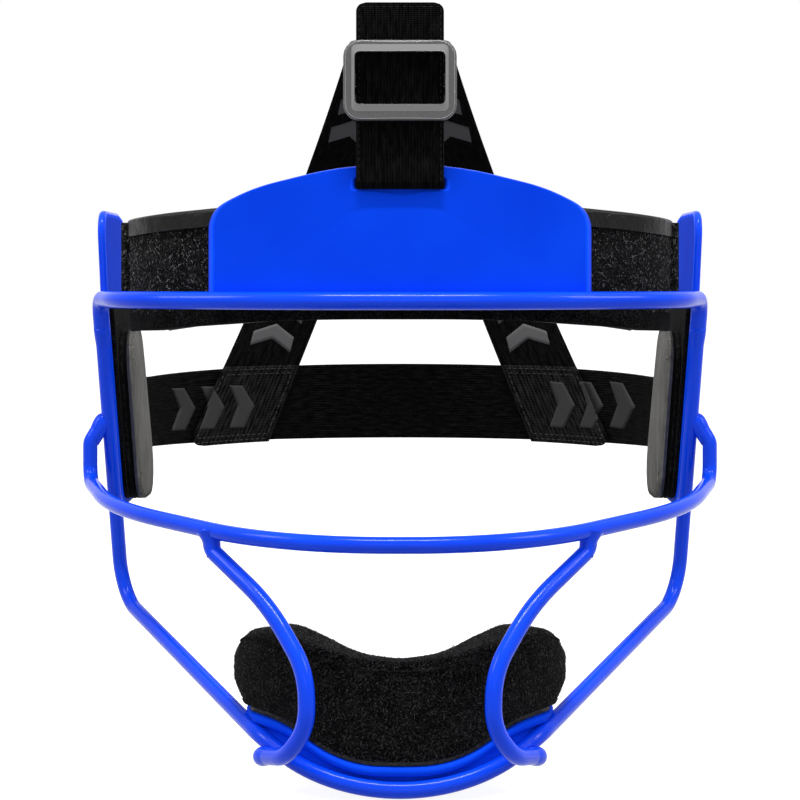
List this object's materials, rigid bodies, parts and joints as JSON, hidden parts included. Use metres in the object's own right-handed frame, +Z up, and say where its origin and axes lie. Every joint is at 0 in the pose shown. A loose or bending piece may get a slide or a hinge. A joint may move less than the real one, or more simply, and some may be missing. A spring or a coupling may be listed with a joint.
{
  "type": "softball face guard",
  "caption": "Open face guard of coated steel rod and plate for softball fielding, with peel-off pads at brow, temples and chin and an elastic harness with a slide adjuster.",
  "frame": {"origin": "on the brow bar's axis at its foremost point, in the middle of the brow line", "axes": "+X to the wearer's left, +Y back through the head, +Z up"},
  "size_m": [0.2076, 0.2591, 0.236],
  "materials": {
    "cage_coat": "thick glossy blue powder coat",
    "hook_tape": "black woven hook tape",
    "webbing": "black ribbed elastic webbing",
    "patch": "black woven patch, box stitched",
    "glide_steel": "satin grey",
    "loop_fabric": "black brushed loop fabric",
    "foam": "closed-cell foam",
    "lining": "grey knitted lining",
    "binding": "smooth black binding tape"
  },
  "bodies": {
    "root": {"brow_bar": "cage_coat", "cheek_bar": "cage_coat", "chin_wire": "cage_coat", "side_wire_left": "cage_coat", "side_wire_right": "cage_coat", "ring_wire_left": "cage_coat", "ring_wire_right": "cage_coat", "chin_plate": "cage_coat", "forehead_plate": "cage_coat", "temple_plate_left": "cage_coat", "temple_plate_right": "cage_coat", "forehead_hook_strip": "hook_tape", "temple_hook_strip_left": "hook_tape", "temple_hook_strip_right": "hook_tape", "chin_hook_strip": "hook_tape", "front_strap": "webbing", "back_strap": "webbing", "strap_tab_left": "webbing", "strap_tab_right": "webbing", "crown_strap_left": "webbing", "crown_strap_right": "webbing", "crown_strap": "webbing", "crown_patch_left": "patch", "crown_patch_right": "patch"},
    "adjuster": {"tri_glide": "glide_steel", "crown_loop": "webbing"},
    "forehead_pad": {"forehead_pad_loop": "loop_fabric", "forehead_pad_foam": "foam", "forehead_pad_lining": "lining", "forehead_pad_binding": "binding"},
    "temple_pad_left": {"temple_pad_left_loop": "loop_fabric", "temple_pad_left_foam": "foam", "temple_pad_left_lining": "lining"},
    "temple_pad_right": {"temple_pad_right_loop": "loop_fabric", "temple_pad_right_foam": "foam", "temple_pad_right_lining": "lining"},
    "chin_pad": {"chin_pad_loop": "loop_fabric", "chin_pad_foam": "foam", "chin_pad_lining": "lining"}
  },
  "joints": [
    {"name": "adjuster_slide", "type": "slide", "parent": "root", "child": "adjuster", "axis": [0, 0, 1], "range_m": [-0.008, 0.009], "deforming": ["crown_strap"]},
    {"name": "forehead_pad_release", "type": "slide", "parent": "root", "child": "forehead_pad", "axis": [0, 1, 0], "range_m": [0, 0.03]},
    {"name": "temple_pad_left_release", "type": "slide", "parent": "root", "child": "temple_pad_left", "axis": [-0.999, 0, 0.0454], "range_m": [0, 0.02]},
    {"name": "temple_pad_right_release", "type": "slide", "parent": "root", "child": "temple_pad_right", "axis": [0.999, 0, 0.0454], "range_m": [0, 0.02]},
    {"name": "chin_pad_release", "type": "slide", "parent": "root", "child": "chin_pad", "axis": [0, 0, 1], "range_m": [0, 0.03]}
  ]
}
